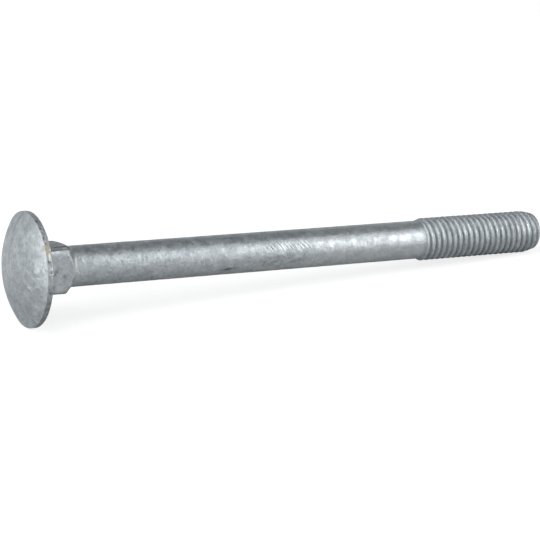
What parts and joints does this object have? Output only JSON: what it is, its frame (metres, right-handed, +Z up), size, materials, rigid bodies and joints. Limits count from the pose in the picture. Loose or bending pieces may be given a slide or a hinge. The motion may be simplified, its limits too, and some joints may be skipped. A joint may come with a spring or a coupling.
{
  "type": "carriage bolt",
  "caption": "Long cup-head bolt with a low domed head, a short square neck that stops it turning, a plain shank and a thread at its end, in dull galvanised steel.",
  "frame": {"origin": "centre of the bearing face under the head, on the axis of the bolt", "axes": "+X along the bolt towards the end of its thread, +Z up; the bolt lies as it rests, on the edge of its head and the end of its thread, so its axis dips 3.4 degrees below +X"},
  "size_m": [0.133, 0.0246, 0.0247],
  "materials": {
    "galvanised_steel": "dull hot-dip zinc, mottled, with small lumps and scuffs"
  },
  "bodies": {
    "root": {"bolt": "galvanised_steel"}
  },
  "joints": []
}
